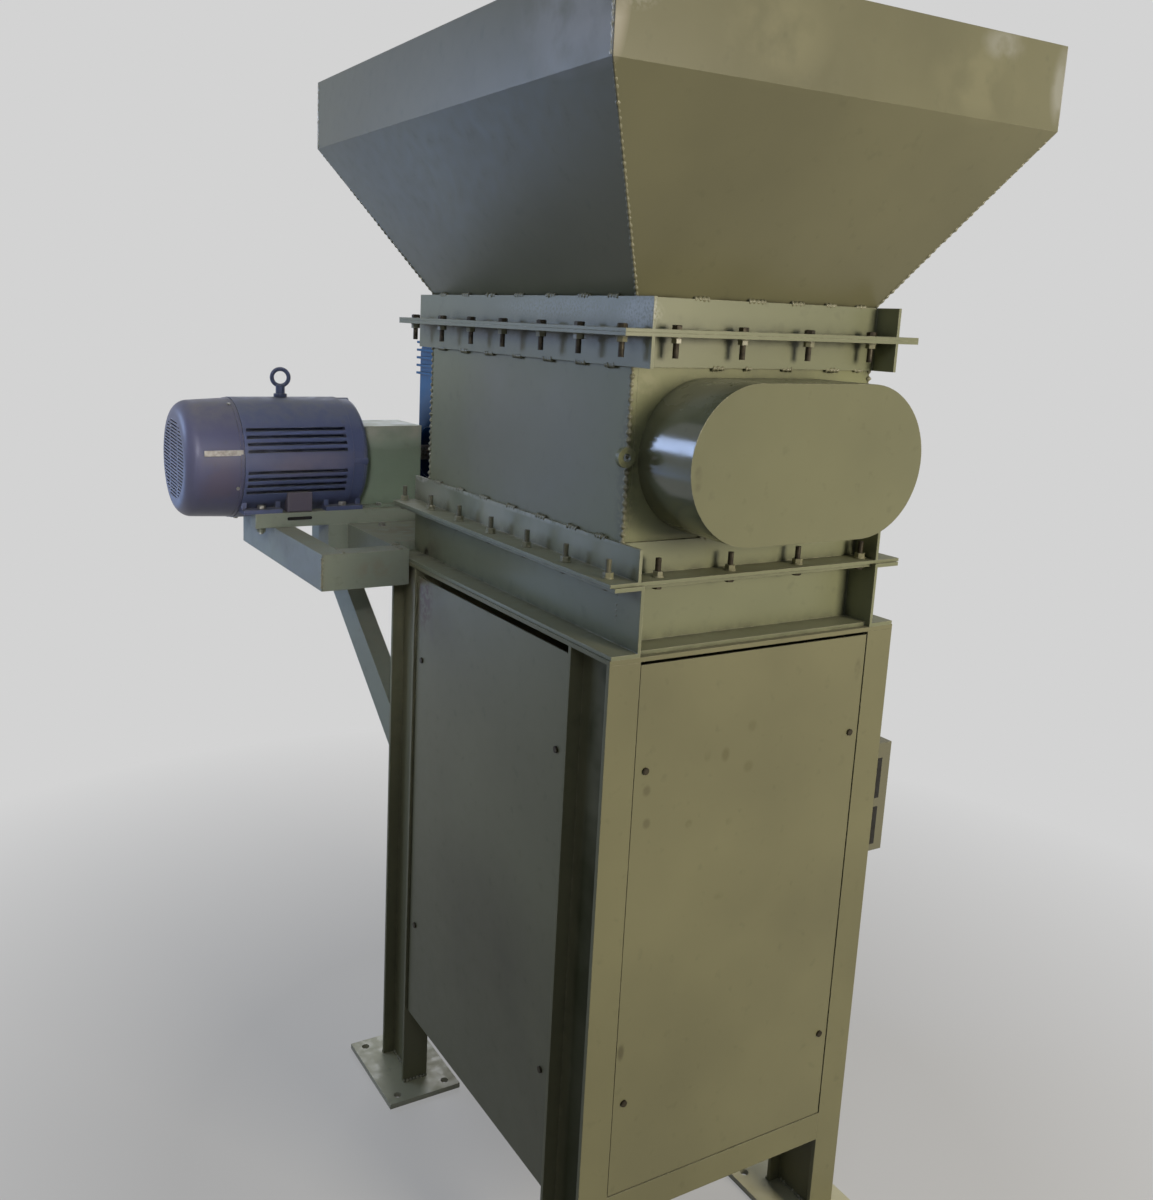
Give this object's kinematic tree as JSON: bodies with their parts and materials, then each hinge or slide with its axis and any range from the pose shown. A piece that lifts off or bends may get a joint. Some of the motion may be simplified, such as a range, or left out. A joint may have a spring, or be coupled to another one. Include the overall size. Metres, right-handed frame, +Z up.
{
  "type": "industrial shredder",
  "caption": "Industrial shredder: flared hopper over a bolted cutting chamber with intermeshing cutter shafts, on a panelled steel stand with a rear platform for motor and worm gearbox.",
  "frame": {"origin": "centre of the stand's footprint at floor level, which is the centre of the outer floor anchor holes", "axes": "+Z up, -Y out of the front with the oval gear cover, +Y to the motor and gearbox, +X to the right as seen from the front"},
  "size_m": [1.173, 1.518, 2.299],
  "materials": {
    "paint_stand": "gloss",
    "paint_base": "gloss",
    "paint_panel": "gloss",
    "paint_frame": "gloss",
    "paint_chamber": "gloss",
    "paint_hopper": "gloss",
    "paint_cover": "gloss",
    "paint_platform": "gloss",
    "paint_guard": "gloss",
    "paint_box": "satin",
    "paint_motor": "satin",
    "paint_fan_cover": "gloss",
    "eye_bolt_steel": "satin",
    "paint_gearbox": "gloss",
    "cutter_steel": "worn",
    "bearing_iron": "matt",
    "coupling_steel": "satin"
  },
  "bodies": {
    "root": {"leg_front_left": "paint_stand", "leg_front_right": "paint_stand", "leg_rear_left": "paint_stand", "leg_rear_right": "paint_stand", "top_plate": "paint_stand", "bottom_rails": "paint_stand", "base_plates": "paint_base", "panel_front": "paint_panel", "panel_rear": "paint_panel", "panel_left": "paint_panel", "panel_right": "paint_panel", "pedestal": "paint_frame", "lower_flange": "paint_frame", "upper_flange": "paint_frame", "hopper_flange": "paint_frame", "chamber_front": "paint_chamber", "chamber_rear": "paint_chamber", "chamber_left": "paint_chamber", "chamber_right": "paint_chamber", "edge_lug": "paint_chamber", "hopper_front": "paint_hopper", "hopper_rear": "paint_hopper", "hopper_left": "paint_hopper", "hopper_right": "paint_hopper", "gear_cover": "paint_cover", "platform_frame": "paint_platform", "brace_left": "paint_platform", "brace_right": "paint_platform", "drive_bars": "paint_platform", "coupling_guard": "paint_guard", "switch_box": "paint_box", "motor_frame": "paint_motor", "motor_end_bell": "paint_motor", "motor_fan_cover": "paint_fan_cover", "motor_eye_bolt": "eye_bolt_steel", "gearbox": "paint_gearbox", "cutter_left": "cutter_steel", "cutter_right": "cutter_steel", "rear_bearings": "bearing_iron", "input_coupling": "coupling_steel", "output_coupling": "coupling_steel"}
  },
  "joints": []
}
